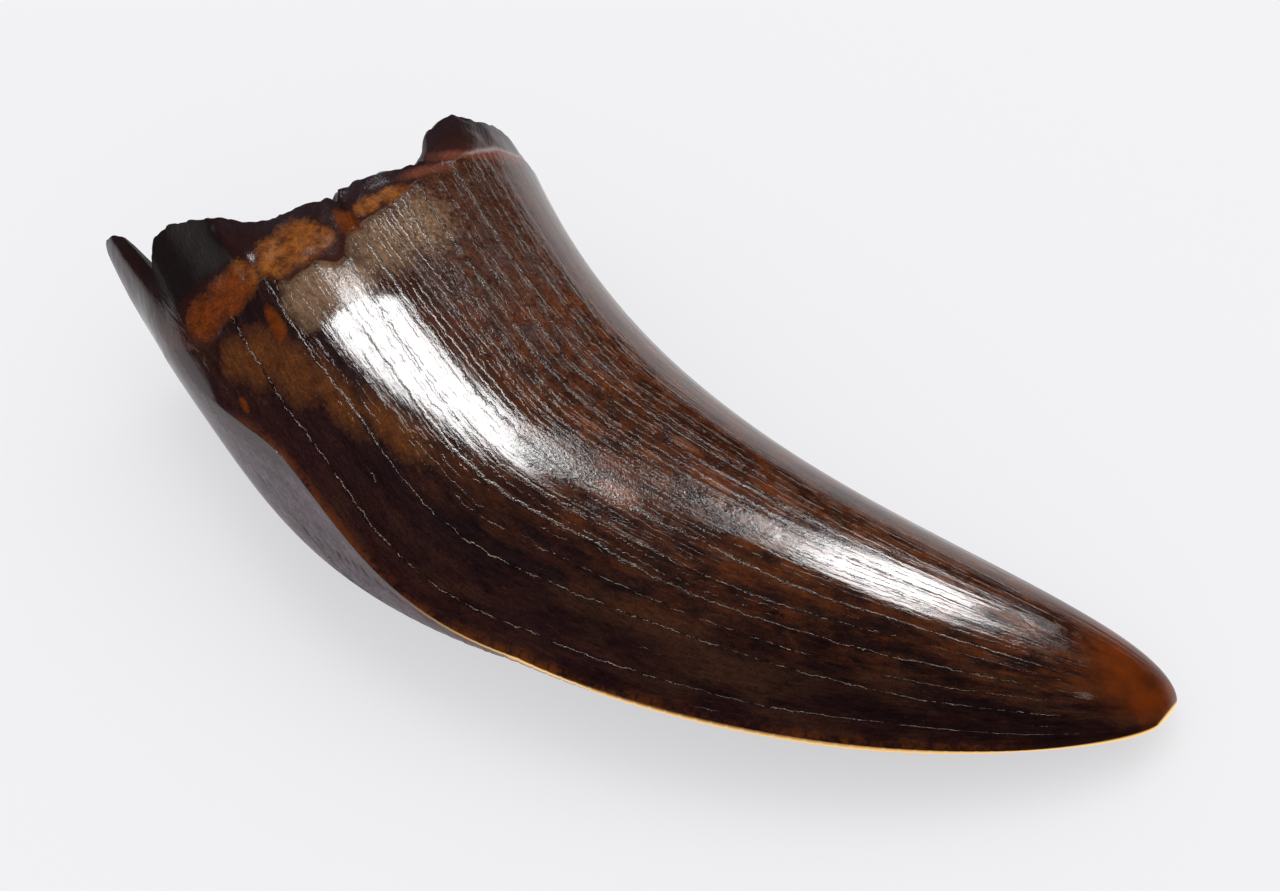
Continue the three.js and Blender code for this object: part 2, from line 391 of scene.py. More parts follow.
def aboveLedge(angle, height):
    # how far above the enamel's wandering end
    ragged = enamel["raggedness"] * grainNoise("ragged", grainOf(height))
    return height - heightOn(enamel["line"], angle) + ragged


# The serrations are counted along each edge by its real length.
edgeShares = np.linspace(*cuttingEdge["serrated"], 4000)
edgeLengths = {
    "back": lengthsAlong(crownPoint(backAngle, edgeShares)),
    "front": lengthsAlong(crownPoint(frontEdgeAngle(edgeShares), edgeShares)),
}


def denticles(share, name):
    # 1 on a serration's flat top, 0 in the slit between two
    first, last = cuttingEdge["serrated"]
    travelled = np.interp(share, edgeShares, edgeLengths[name])
    fromSlit = np.abs(np.mod(travelled / cuttingEdge["pitch"] + 0.5, 1) - 0.5) * cuttingEdge["pitch"]
    nearBase = [first + step for step in cuttingEdge["wornNearBase"]]
    worn = between(share, nearBase, (cuttingEdge["wornNearTip"], last))
    return smoothStep(fromSlit, 0, cuttingEdge["slit"]), worn


def chipPlace(angle, height):
    # 1 between the chip's side walls, and how far below its top
    chip = brokenBase["chip"]
    start, end = chip["sides"]
    first, last = chip["walls"]
    inside = between(
        angle, (start - first / 2, start + first / 2), (end - last / 2, end + last / 2))
    return inside, np.maximum(0, chip["top"] - height)


def relief(angle, share, fromBack, fromFront):
    # how far the skin stands off the plain oval
    height = share * crown["stretch"]
    grain = grainOf(height)
    offset = np.zeros(angle.shape)
    fade = 1 - smoothStep(share, *cuttingEdge["fade"])
    for away, name in ((fromBack, "back"), (fromFront, "front")):
        begun = smoothStep(share, *cuttingEdge["frontBegins"]) if name == "front" else 1
        offset += cuttingEdge["height"] * np.exp(-away / cuttingEdge["halfWidth"]) * fade * begun
        top, worn = denticles(share, name)
        beside = np.exp(-(away / cuttingEdge["reach"]) ** 2)
        offset += cuttingEdge["denticle"] * (top - cuttingEdge["flat"]) * beside * worn
    onFoot = between(share, cuttingEdge["shoulderShare"], cuttingEdge["footShare"])
    underFoot = np.exp(-(fromFront / cuttingEdge["shoulderWidth"]) ** 2)
    offset += cuttingEdge["shoulder"] * underFoot * onFoot
    above = aboveLedge(angle, height)
    onEnamel = smoothStep(above, -enamel["ledge"], enamel["ledge"])
    atFront = between(angle, *enamel["frontFace"])
    offset -= enamel["thickness"] * (1 - onEnamel) * (1 - (1 - enamel["frontLedge"]) * atFront)
    onCheek = between(angle, enamel["cheek"], enamel["cheekEnds"])
    offset -= enamel["neck"] * np.maximum(0, heightOn(enamel["neckLine"], angle) - height) * onCheek
    wrinkle, fine = (1 - np.abs(grainNoise(name, grain)) * 2 for name in ("wrinkle", "fine"))
    crowded = crowdedCracks(angle, share)
    wrinkles = wrinkle * mixed(0.5, 1, crowded) + enamel["fine"] * fine * crowded
    enamelSkin = enamel["swell"] * grainNoise("swell", grain) + enamel["wrinkle"] * wrinkles
    lumps = dentine["lump"] * grainNoise("lump", grain) + dentine["grit"] * grainNoise("grit", grain)
    inChip, belowChip = chipPlace(angle, height)
    lumps = lumps * (1 - dentine["chipSmooth"] * inChip * smoothStep(belowChip, 0, 0.3))
    offset += mixed(lumps, enamelSkin, onEnamel) * (1 - smoothStep(share, *enamel["smoothTip"]))
    offset -= brokenBase["chip"]["slope"] * belowChip * inChip
    onBareCheek = between(angle, enamel["bareCheek"], enamel["cheekEnds"])
    offset -= enamel["bareSlope"] * np.maximum(0, -above) * (1 - inChip) * onBareCheek
    for mark in skinMarks.values():
        offset += mark["height"] * markAlong(mark, angle, height)
    return offset


tipFacet = {  # rubbed flat in life against the tooth that met it
    "facing": (0.944, -0.209, -0.255),
    "away": 15.37,
    "worn": 0.9,
    "round": 0.14,
    "glow": (-0.13, -0.07),  # level at which the painted glow on the tip begins, and is full
}


def wornFlat(point):
    beyond = point @ np.array(tipFacet["facing"]) - tipFacet["away"]
    cut = tipFacet["worn"] * (beyond + np.hypot(beyond, tipFacet["round"])) / 2
    return point - np.array(tipFacet["facing"]) * cut[..., None]


def skinPoint(angle, share, fromBack, fromFront):
    offset = relief(angle, share, fromBack, fromFront)
    point = wornFlat(crownPoint(angle, share) + outward(angle, share) * offset[..., None])
    point[..., 2] = np.maximum(0, point[..., 2])
    return point


# Rings from the depth of the cavity, over the break, along the skin to the tip.
def rowWays():
    row = np.arange(meshing["rows"]) + 0.5
    width = np.minimum(meshing["lowRow"] + row / meshing["lowRows"], 1)
    width = width * np.minimum(1, (meshing["rows"] - row + 1) / meshing["tipRows"])
    return np.cumsum(np.concatenate([[0], width])) / (width.sum() + 0.02)  # stops just short of the tip


jagged = sum(size * grainNoise(name, grainOf(np.zeros(columns)))
             for name, size in brokenBase["jagged"].items())
breakHeights = np.maximum(0.03, heightOn(brokenBase["line"], baseAngles) + jagged)


def skinRows():
    rows, split = meshing["rows"], meshing["split"]
    fineWays = np.interp(np.arange(rows * split + 1) / split, np.arange(rows + 1), rowWays())
    share = mixed(breakHeights / crown["stretch"], 1, fineWays[:, None])
    angle, fromBack, fromFront = (
        lookUp(table, share) for table in (angleTable, fromBackTable, fromFrontTable))
    return angle, share, fromBack, fromFront


def cavityPoint(angle, share, scale):
    turn = np.radians(angle)
    uneven = 1 + brokenBase["cavityUnevenness"] * (np.sin(2 * turn + 1) + np.sin(5 * turn))
    halfBreadth, halfThickness = halfSizes(share)
    across = halfBreadth * brokenBase["cavityBreadth"] * scale * uneven * np.cos(turn)
    up = halfThickness * brokenBase["cavityThickness"] * scale * uneven * np.sin(turn)
    return placeInSection(share, across, up)


def groundHeight(angle, wall):
    turn = np.radians(angle)
    swells = sum(size * np.sin(number * turn + start)
                 for size, number, start in brokenBase["groundSwells"])
    splinters = brokenBase["splinters"] * np.sin(17 * turn + 9 * wall) * np.sin(5 * turn)
    middle, reach = brokenBase["recessed"]
    behindRim = brokenBase["recess"] * np.exp(-((angle - middle) / reach) ** 2)
    ground = brokenBase["cavityMouth"] + brokenBase["aboveMouth"] + behindRim
    return ground + (swells + splinters) * (1 - wall)


def groundRing(wall):
    # from the rim, where wall is 0, to the mouth of the cavity, where it is 1
    ground = smoothStep(wall, 0, 0.3)
    height = mixed(breakHeights, groundHeight(baseAngles, wall), ground)
    turn = np.radians(baseAngles)
    wide, deep = brokenBase["groundSpread"]
    place = np.stack([np.cos(turn) * wide, np.sin(turn) * wide, np.full(columns, wall * deep)], -1)
    rough = grainNoise("crust", place) + 0.5 * grainNoise("crumbs", place)
    height = height + brokenBase["groundNoise"] * rough * min(1, 8 * wall * (1 - wall))
    share = np.maximum(0, height) / crown["stretch"]
    skin = skinPoint(baseAngles, share, fromBackTable[0], fromFrontTable[0])
    return mixed(skin, cavityPoint(baseAngles, share, 1), wall)


def cavityRing(row):
    # a dome, from its end to its mouth
    turn = 0.5 * math.pi * (row + 0.4) / (meshing["cavityRings"] - 0.6)
    height = brokenBase["cavityMouth"] + brokenBase["cavityDepth"] * math.cos(turn)
    share = np.full(columns, height / crown["stretch"])
    grit = brokenBase["cavityGrit"] * grainNoise("cavityWall", grainOf(share * crown["stretch"]))
    return cavityPoint(lookUp(angleTable, share), share, math.sin(turn) + grit)


walls = 1 - (np.arange(meshing["groundRings"]) + 0.5) / meshing["groundRings"]
innerRings = np.array([cavityRing(row) for row in range(meshing["cavityRings"])]
                      + [groundRing(wall) for wall in walls])
skinAngle, skinShare, skinFromBack, skinFromFront = skinRows()
skin = skinPoint(skinAngle, skinShare, skinFromBack, skinFromFront)
print("skin shaped")


# One closed mesh.
split = meshing["split"]
columnsFromEdge = np.minimum.reduce([
    np.arange(columns), np.abs(np.arange(columns) - frontColumn), columns - np.arange(columns)])
fineColumn = columnsFromEdge <= meshing["band"]
keptPoints = np.zeros(skinShare.shape, bool)
keptPoints[::split] = True
keptPoints[:, fineColumn] = True
skinIds = np.full(skinShare.shape, -1)
innerCount = innerRings.shape[0]
skinIds[keptPoints] = 1 + innerCount * columns + np.arange(keptPoints.sum())
innerIds = 1 + np.arange(innerCount * columns).reshape(innerCount, columns)
cavityEnd = innerRings[0].mean(axis=0)
tipEnd = wornFlat(crownPoint(90, 1.0))
points = np.vstack([cavityEnd, innerRings.reshape(-1, 3), skin[keptPoints], tipEnd])
tipId = len(points) - 1

faces = []
corners = []  # ring number and column of each face's corners, for the flat map
lastRow = skinShare.shape[0] - 1


def addFace(places):
    faces.append([int(gridId(row, column % columns)) for row, column in places])
    corners.append(places)


def gridId(row, column):
    return innerIds[row, column] if row < innerCount else skinIds[row - innerCount, column]


def addSquare(row, column):
    addFace([(row, column), (row, column + 1), (row + 1, column + 1), (row + 1, column)])


for column in range(columns):
    for row in range(innerCount):
        addSquare(row, column)
    leftFine, rightFine = fineColumn[column], fineColumn[(column + 1) % columns]
    for row in range(innerCount, innerCount + lastRow, split):
        if leftFine and rightFine:
            for sub in range(row, row + split):
                addSquare(sub, column)
        else:
            left = range(row + split, row, -1 if leftFine else -split)
            right = range(row, row + split + 1, 1 if rightFine else split)
            addFace([(row, column)] + [(sub, column + 1) for sub in right]
                    + [(sub, column) for sub in left])

mapHeights = np.concatenate([  # bands of the flat map: the cavity, the break, the skin
    np.linspace(0.01, 0.12, meshing["cavityRings"]),
    np.linspace(0.125, 0.24, meshing["groundRings"]),
    mixed(0.245, 0.985, np.linspace(0, 1, lastRow + 1)),
])
mapAround = around / girth

polar = []  # the triangles at both ends, with their places on the flat map
for column in range(columns):
    after = (column + 1) % columns
    left, right = mapAround[column], mapAround[column + 1]
    middle = left / 2 + right / 2
    polar.append(([0, int(innerIds[0, after]), int(innerIds[0, column])],
                  [(middle, 0.0), (right, mapHeights[0]), (left, mapHeights[0])]))
    polar.append(([int(skinIds[-1, column]), int(skinIds[-1, after]), tipId],
                  [(left, mapHeights[-1]), (right, mapHeights[-1]), (middle, 1.0)]))

mesh = bpy.data.meshes.new("toothCrown")
mesh.from_pydata((points * 0.001).tolist(), [], faces + [face for face, _ in polar])
mesh.shade_smooth()
mesh.set_sharp_from_angle(angle=math.radians(meshing["sharp"]))
rimIds = set(skinIds[0].tolist())
sharpEdges = mesh.attributes["sharp_edge"].data
for edge in mesh.edges:
    if edge.vertices[0] in rimIds and edge.vertices[1] in rimIds:
        sharpEdges[edge.index].value = True
flatMap = mesh.uv_layers.new(name="OFBake")
flatPlaces = [(mapAround[column], mapHeights[row]) for places in corners for row, column in places]
flatPlaces += [place for _, places in polar for place in places]
flatMap.data.foreach_set("uv", np.array(flatPlaces, np.float32).ravel())
tooth = inScene("toothCrown", mesh)
print("mesh made,", len(mesh.polygons), "faces,", sum(len(p.vertices) - 2 for p in mesh.polygons),
      "triangles")


# Where each finish lies, kept on the mesh.
patches = {  # angle, millimetres up, half angle, half height
    "rust": (
        (118, 4.45, 6.5, 0.85), (110, 4.4, 8, 0.95), (104, 4.65, 4.5, 0.6), (148, 4.6, 8, 0.65),
        (137, 4.6, 8, 0.75), (130, 4.45, 5, 0.75), (95, 4.6, 3.2, 0.72), (87, 4.3, 5, 0.4),
        (80, 4.3, 5, 0.38), (128, 6.55, 2.4, 0.72), (152, 7.6, 1.6, 0.3), (215, 3.4, 14, 0.6),
        (250, 4.4, 14, 0.5), (305, 3.0, 18, 0.5),
    ),
    "rustRed": (
        (153, 6.9, 7, 1.8), (148, 4.6, 9, 0.8), (137, 4.6, 9, 0.9), (95, 4.6, 4, 0.9),
        (128, 6.5, 4, 1),
    ),
    "reddish": ((66, 3.75, 9, 0.26), (50, 3.1, 14, 0.3), (34, 2.75, 12, 0.3)),
    "tan": (  # enamel worn thin and pale
        (110, 6.5, 9, 1.2), (117, 6.6, 6, 1.1), (103, 7.0, 6, 0.9), (90, 6.2, 9, 1.4),
        (78, 6.0, 9, 1.5), (240, 6.3, 22, 0.9),
    ),
    "brown": (
        (138, 7.0, 9, 1.0), (146, 6.4, 6, 0.6), (131, 8.2, 7, 1.3), (125, 9.8, 5, 1.6),
        (119, 12.0, 5, 1.6),
    ),
    "scuff": (  # scratched by the sediment, so that the gloss breaks up
        (98, 16.6, 5, 1.6), (95, 18.6, 7, 2.2), (91, 21.5, 6, 2.4), (88, 24.0, 5, 1.0),
        (262, 16.0, 26, 8.0),
    ),
    "sparkle": ((71.5, 35.0, 4.5, 0.5), (80, 33.6, 3, 0.9), (117.5, 36.7, 3.5, 0.4)),
    "emberSpot": (  # redder where light gets in deeper
        (84.2, 17.2, 1.9, 0.7), (82, 19.6, 1.6, 0.5), (70, 20.4, 2.2, 0.8), (78, 22.3, 2.2, 0.8),
        (68, 24.5, 2.4, 1.4), (100, 19.5, 4, 0.9), (280, 14.0, 12, 1.2),
    ),
}

amberTip = {  # where the tip's amber is half way in, and how far it fades either way
    "line": (
        (0, 38.0), (40, 37.2), (64, 36.9), (110, 37.2), (136, 38.9), (160, 39.8), (180, 39.9),
        (270, 37.6), (360, 38.0),
    ),
    "fade": (-2.8, 2.4),
}

greyFace = {  # below the front edge, where a painted grey reflection lies: degrees beside it, and shares of the way
    "crisp": (-0.5, 1.5),
    "softer": (-3, 12),  # further, where the edge is a soft swell
    "softShare": (0.2, 0.29),
    "ends": (45, 80),
    "endShare": (0.42, 0.52),
}

# where the thin edge gets its painted glow, in its colour and as emission
glowingEdge = {
    "width": (0.028, 0.1),  # widest at the tip
    "widens": (0.86, 0.97),
    "begins": (0.35, 0.5),
    "stained": ((0.17, 0.22), (0.34, 0.5)),
}


def patched(name, angle, height):
    # 1 in a patch, passing 0.5 at its edge
    found = np.zeros(angle.shape)
    for middle, up, halfAngle, halfHeight in patches[name]:
        reach = np.hypot((angle - middle) / halfAngle, (height - up) / halfHeight)
        found = np.maximum(found, np.clip(1.5 - reach, 0, 1))
    return found


keptNames = []


def keep(name, skinValues, tip=0.0, inner=0.0):
    # a value at each point: the cavity's end, the rings inside the break, the skin and the tip
    inside = np.broadcast_to(inner, (innerCount, columns))
    values = np.concatenate([inside[0, :1], inside.ravel(), skinValues[keptPoints], [tip]])
    mesh.attributes.new(name, "FLOAT", "POINT").data.foreach_set("value", values.astype(np.float32))
    keptNames.append(name)


skinHeight = skinShare * crown["stretch"]
angleWrapped = np.mod(skinAngle, 360)
amber = smoothStep(skinHeight - heightOn(amberTip["line"], angleWrapped), *amberTip["fade"])
belowEdge = angleWrapped - frontEdgeAngle(skinShare)
soft = 1 - smoothStep(skinShare, *greyFace["softShare"])
edgeRise = [crisp + soft * softer for crisp, softer in zip(greyFace["crisp"], greyFace["softer"])]
frontFace = between(belowEdge, edgeRise, greyFace["ends"])
thinEdge = mixed(*glowingEdge["width"], smoothStep(skinShare, *glowingEdge["widens"]))
edgeGlow = smoothStep(skinFromFront, thinEdge, 0.2 * thinEdge)
inChip, belowChip = chipPlace(angleWrapped, skinHeight)
serration, unworn = denticles(skinShare, "front")
brokenRings = np.repeat([2.0, 1.0], [meshing["cavityRings"], meshing["groundRings"]])
inward = np.concatenate([np.ones(meshing["cavityRings"]), walls])
onSkin = {
    "frontFace": frontFace * (1 - smoothStep(skinShare, *greyFace["endShare"])),
    "frontCrack": markAlong(skinMarks["frontCrack"], angleWrapped, skinHeight),
    "besideFront": (belowEdge < 0) * between(skinShare, *glowingEdge["stained"]),
    "chipped": inChip * smoothStep(belowChip, 0, 0.25),
    "crowded": crowdedCracks(skinAngle, skinShare),
    "denticle": serration * unworn,
    **{name: patched(name, angleWrapped, skinHeight) for name in patches},
}
for name, values in onSkin.items():
    keep(name, values)
keep("amber", amber, 1)
keep("edgeGlow", edgeGlow * smoothStep(skinShare, *glowingEdge["begins"]), 1)
keep("share", skinShare, 1)
keep("across", skinFromBack / np.maximum(skinFromBack + skinFromFront, 1e-6), 0.5, 0.5)
keep("fromFront", skinFromFront, 0.3, 5)
keep("aboveBreak", skinHeight - breakHeights, 40)
keep("aboveEnamel", aboveLedge(skinAngle, skinHeight), 30, -3)
keep("broken", np.zeros(skinShare.shape), inner=brokenRings[:, None])
keep("inward", np.zeros(skinShare.shape), inner=inward[:, None])
innerHeights = np.broadcast_to(np.linspace(9, 3, innerCount)[:, None], (innerCount, columns))
grainPlaces = np.concatenate([  # the cavity's end, the rings, the skin and the tip
    [[0, 0, 9]], grainOf(innerHeights).reshape(-1, 3), grainOf(skinHeight)[keptPoints], [[0, 0, 40]]])
mesh.attributes.new("grain", "FLOAT_VECTOR", "POINT").data.foreach_set(
    "vector", grainPlaces.astype(np.float32).ravel())
print("finishes placed")


# Fossil tooth enamel over dentine: apatite that iron and manganese from the ground have stained, worn
# smooth in life and in the sediment, then split by drying. To the eye it is a dark, warm, glassy brown
# with crisp highlights, pale thread-like cracks with painted glints, painted shade in the cracks and on
# their lips, rusty dentine where the enamel has gone, a painted grey reflection on the narrow front
# face, and a painted glow on an edge so thin that light would come through.
fossil = {
    "redBrown": "#40190F",  # along the back edge
    "warmBrown": "#3C1D11",
    "brown": "#341E17",
    "dark": "#1E1214",  # towards the front edge
    "frontRed": "#251214",
    "frontFace": "#5F5459",  # painted reflection: grey standing in for the pale floor mirrored in the narrow front face
    "haze": "#5E4B46",  # enamel paled by crowded hairlines
    "olive": "#38241A",  # blotches of paler mineral
    "ember": "#6E3717",
    "tan": "#866951",  # thin enamel beside its ledge
    "tanBrown": "#60371B",
    # pale dust filling the cracks, which also carries their painted glints
    "crackDustAndGlint": "#BDA284",
    "crackShadow": "#1A0D0B",
    "rust": "#94561F",
    "rustDeep": "#54260E",
    "rustRed": "#6E300F",
    "reddish": "#74402F",
    "dentine": "#2C1716",
    "dentineBrown": "#42231C",
    "rim": "#2A1B1F",
    "chip": "#170809",
    "tip": "#70300B",
    "tipDeep": "#47200D",
    # painted glow of the thin edge and tip
    "edgeGlow": "#FFCB7E",
    "edgeShine": 0.3,  # painted glow, given off as emission by the thin edge
    # painted amber spots at the serrations, standing in for light let through them
    "edgeSpot": "#62300C",
    "edgeStain": "#5C2E16",
    "cavity": "#241711",
    "innerDark": "#2A1A12",  # growth layers of the dentine, seen on the break
    "innerBrown": "#573A22",
    "innerRust": "#8A5A2C",
    "ior": 1.55,  # between dentine's 1.54 and enamel's 1.62
    "polished": 0.09,  # roughness of each finish
    "scuffed": 0.12,
    "bare": 0.15,
    "freshChip": 0.28,
    "inside": 0.62,
    # drying cracks are about 0.01 mm wide; these are drawn up to four times that, so that they show
    "sparse": {"spacing": 0.78, "width": 0.018, "sway": 0.9, "waver": 0.34, "seed": 0.0},
    "crowded": {"spacing": 0.25, "width": 0.014, "sway": 0.8, "waver": 0.36, "seed": 40.0},
    "finest": {"spacing": 0.13, "width": 0.01, "sway": 0.6, "waver": 0.3, "seed": 90.0},
    "crackDepth": 0.016,
    "lip": 0.004,
    "pitSize": 0.085,  # etched pits, drawn about four times as wide as real ones, so that they show
    "pitDepth": 0.006,
    "threadDepth": 0.0035,  # fine lengthwise lines in the polish
}

drawnOut = {  # swells to a millimetre, across the tube twice and along it; detail, roughness, shift
    "streaks": ((3.0, 3.0, 0.3), 5.0, 0.65, 0.0),
    "clouds": ((0.6, 0.6, 0.22), 5.0, 0.65, 7.0),
    "blotches": ((1.6, 1.6, 0.8), 6.0, 0.7, 20.0),
    "fibres": ((10.0, 10.0, 2.6), 4.0, 0.7, 30.0),
    "threads": ((8.0, 8.0, 0.7), 3.0, 0.6, 55.0),
}

evenGrains = {  # swells to a millimetre; detail, roughness
    "mottle": (2.4, 4.0, 0.65),
    "speckle": (9.0, 3.0, 0.7),
    "grit": (16.0, 2.0, 0.6),
    "tipClouds": (1.0, 3.0, 0.55),
}


def linear(hexColour):
    parts = [int(hexColour[i:i + 2], 16) / 255 for i in (1, 3, 5)]
    return tuple(p / 12.92 if p <= 0.04045 else ((p + 0.055) / 1.055) ** 2.4 for p in parts) + (1,)


material = bpy.data.materials.new("fossilEnamel")
material.use_nodes = True
tree = material.node_tree
tree.nodes.clear()


def add(kind, sockets=None, operation=None, stops=(), **settings):
    # Adds a node with its settings. A socket takes a number, a colour's name, or what a node gives.
    # MapRange's are the value, from 1 to 2, onto 3 to 4; Mix's are the share, then what is mixed.
    node = tree.nodes.new("ShaderNode" + kind)
    if operation:
        settings["operation"] = operation
    if kind == "Mix" and 6 in sockets:  # colours are mixed from sockets 6 and 7
        settings["data_type"] = "RGBA"
    for name, value in settings.items():
        setattr(node, name, value)
    for socket, value in (sockets or {}).items():
        if isinstance(value, bpy.types.Node):
            value = next(output for output in value.outputs if output.enabled)
        if isinstance(value, bpy.types.NodeSocket):
            tree.links.new(value, node.inputs[socket])
        else:
            node.inputs[socket].default_value = (
                linear(fossil[value]) if isinstance(value, str) else value)
    for number, (position, colour) in enumerate(stops):
        elements = node.color_ramp.elements
        element = elements[number] if number < 2 else elements.new(position)
        element.position, element.color = position, linear(fossil[colour])
    return node


kept = {name: add("Attribute", attribute_name=name).outputs["Fac"] for name in keptNames}
grain = add("Attribute", attribute_name="grain").outputs["Vector"]
object3d = add("TexCoord").outputs["Object"]
place = add("VectorMath", {0: object3d, 1: (1000, 1000, 1000)}, "MULTIPLY")
grainParts = add("SeparateXYZ", {0: grain})
turn = add("Math", {0: grainParts.outputs[1], 1: grainParts.outputs[0]}, "ARCTAN2")
unrolled = add("Math", {0: turn, 1: float(girth / (2 * math.pi))}, "MULTIPLY")


def stretchedNoise(scales, detail=3.0, rough=0.55, shift=0.0):
    # noise drawn out along the crown, its scales in swells to a millimetre round and along it
    moved = add("VectorMath", {0: grain, 1: (shift, 0, shift)}, "ADD")
    drawn = add("VectorMath", {0: moved, 1: scales}, "MULTIPLY")
    return add("TexNoise", {"Vector": drawn, "Scale": 1.0, "Detail": detail, "Roughness": rough})


def raggedPatch(name, noise, raggedness, start, full, most=1.0):
    # a patch kept on the mesh, its edge broken up by a noise
    share = add("Math", {0: noise, 1: raggedness, 2: kept[name]}, "MULTIPLY_ADD")
    return add("MapRange", {0: share, 1: start, 2: full, 4: most})


def hairlines(spacing, width, sway, waver, seed):
    # wavy lengthwise cracks: how near a crack, and how near its lips, from 0 to 1
    bends = stretchedNoise((0.3, 0.3, 0.06), 1.0, shift=seed)
    wavers = stretchedNoise((1.4, 1.4, 1.9), 5.0, 0.75, shift=seed)
    lines = add("Math", {0: unrolled, 1: 1 / spacing, 2: seed}, "MULTIPLY_ADD")
    bent = add("Math", {0: bends, 1: 2 * sway / spacing, 2: lines}, "MULTIPLY_ADD")
    wavy = add("Math", {0: wavers, 1: waver / spacing, 2: bent}, "MULTIPLY_ADD")
    number = add("Math", {0: wavy}, "FLOOR")
    own = add("TexWhiteNoise", {"W": number}, noise_dimensions="1D")
    part = add("Math", {0: wavy, 1: number}, "SUBTRACT")
    middle = add("Math", {0: part, 1: 0.5}, "SUBTRACT")
    away = add("Math", {0: middle}, "ABSOLUTE")
    along = add("CombineXYZ", {0: number, 1: 0.0, 2: grainParts.outputs[2]})
    drawn = add("VectorMath", {0: along, 1: (3.7, 1, 0.5)}, "MULTIPLY")
    fading = add("TexNoise", {"Vector": drawn, "Scale": 1.0, "Detail": 4.0, "Roughness": 0.6})
    strong = add("Math", {0: own.outputs["Value"], 1: 0.3, 2: fading}, "MULTIPLY_ADD")
    strength = add("MapRange", {0: strong, 1: 0.55, 2: 0.82})
    line = add("MapRange", {0: away, 2: width / spacing, 3: 1.0, 4: 0.0},
               interpolation_type="SMOOTHSTEP")
    lip = add("MapRange", {0: away, 1: width / spacing, 2: 3.5 * width / spacing, 3: 1.0, 4: 0.0},
              interpolation_type="SMOOTHSTEP")
    return (add("Math", {0: line, 1: strength}, "MULTIPLY"),
            add("Math", {0: lip, 1: strength}, "MULTIPLY"))


onEnamel = add("MapRange", {0: kept["aboveEnamel"], 1: -0.06, 2: 0.08})
beforeTip = add("MapRange", {0: kept["share"], 1: 0.86, 2: 0.93, 3: 1.0, 4: 0.0})
crackable = add("Math", {0: onEnamel, 1: beforeTip}, "MULTIPLY")
crowdedHere = add("Math", {0: kept["crowded"], 1: 0.85, 2: 0.08}, "MULTIPLY_ADD")
finestHere = add("Math", {0: kept["crowded"], 1: 0.35}, "MULTIPLY")
line, lip = hairlines(**fossil["sparse"])
for family, here in (("crowded", crowdedHere), ("finest", finestHere)):
    nextLine, nextLip = hairlines(**fossil[family])
    line = add("Math", {0: line, 1: add("Math", {0: nextLine, 1: here}, "MULTIPLY")}, "MAXIMUM")
    lip = add("Math", {0: lip, 1: add("Math", {0: nextLip, 1: here}, "MULTIPLY")}, "MAXIMUM")
lineOnEnamel = add("Math", {0: line, 1: crackable}, "MULTIPLY")
lipOnEnamel = add("Math", {0: lip, 1: crackable}, "MULTIPLY")

# Colour of the enamel, from the back edge across to the front.
streaks, clouds, blotches, fibres, threads = (stretchedNoise(*way) for way in drawnOut.values())
mottle, speckle, grit, tipClouds = (
    add("TexNoise", {"Vector": place, "Scale": scale, "Detail": detail, "Roughness": rough})
    for scale, detail, rough in evenGrains.values())
acrossShifted = add("Math", {0: clouds, 1: 0.3, 2: kept["across"]}, "MULTIPLY_ADD")
acrossPlaced = add("Math", {0: acrossShifted, 1: 0.15}, "SUBTRACT")
band = add("ValToRGB", {0: acrossPlaced}, stops=(
    (0.0, "redBrown"), (0.24, "warmBrown"), (0.48, "brown"), (0.78, "dark"), (1.0, "frontRed")))
streakShade = add("MapRange", {0: streaks, 1: 0.3, 2: 0.7, 3: 0.65, 4: 1.35})
towardTip = add("MapRange", {0: kept["share"], 1: 0.25, 2: 0.75, 3: 1.2, 4: 0.64})
bandShade = add("Math", {0: streakShade, 1: towardTip}, "MULTIPLY")
streaked = add("VectorMath", {0: band, "Scale": bandShade}, "SCALE")
hazeNoise = add("Mix", {0: 0.55, 2: streaks, 3: mottle})
hazeAcross = add("MapRange", {0: kept["across"], 1: 0.14, 2: 0.34, 3: 0.7, 4: 1.0})
hazeShare = add("MapRange", {0: kept["share"], 1: 0.26, 2: 0.42, 3: 1.0, 4: 0.75})
hazeZone = add("Math", {0: hazeAcross, 1: hazeShare}, "MULTIPLY")
hazeLaid = add("Math", {0: hazeNoise, 1: hazeZone}, "MULTIPLY")
hazeParts = add("Math", {0: hazeLaid, 1: kept["crowded"]}, "MULTIPLY")
haze = add("MapRange", {0: hazeParts, 1: 0.34, 2: 0.58, 4: 0.68})
oliveParts = add("MapRange", {0: clouds, 1: 0.46, 2: 0.66, 4: 0.7})
emberShare = add("Math", {0: clouds, 1: 0.6, 2: blotches}, "MULTIPLY_ADD")
notFront = add("MapRange", {0: kept["across"], 1: 0.5, 2: 0.85, 3: 0.8, 4: 0.07})
emberParts = add("MapRange", {0: emberShare, 1: 0.7, 2: 0.98})
notBase = add("MapRange", {0: kept["share"], 1: 0.16, 2: 0.36, 3: 0.35, 4: 1.0})
emberRoom = add("Math", {0: notFront, 1: notBase}, "MULTIPLY")
emberHere = add("Math", {0: emberParts, 1: emberRoom}, "MULTIPLY")
emberSpotHere = raggedPatch("emberSpot", blotches, 1.2, 0.85, 1.5, 0.85)
emberAll = add("Math", {0: emberHere, 1: emberSpotHere}, "MAXIMUM")
ragged = add("Math", {0: speckle, 1: 0.6, 2: mottle}, "MULTIPLY_ADD")
tanHere = raggedPatch("tan", ragged, 0.9, 0.95, 1.85, 0.95)
brownHere = raggedPatch("brown", ragged, 1.2, 1.2, 2.1, 0.95)
stained = streaked
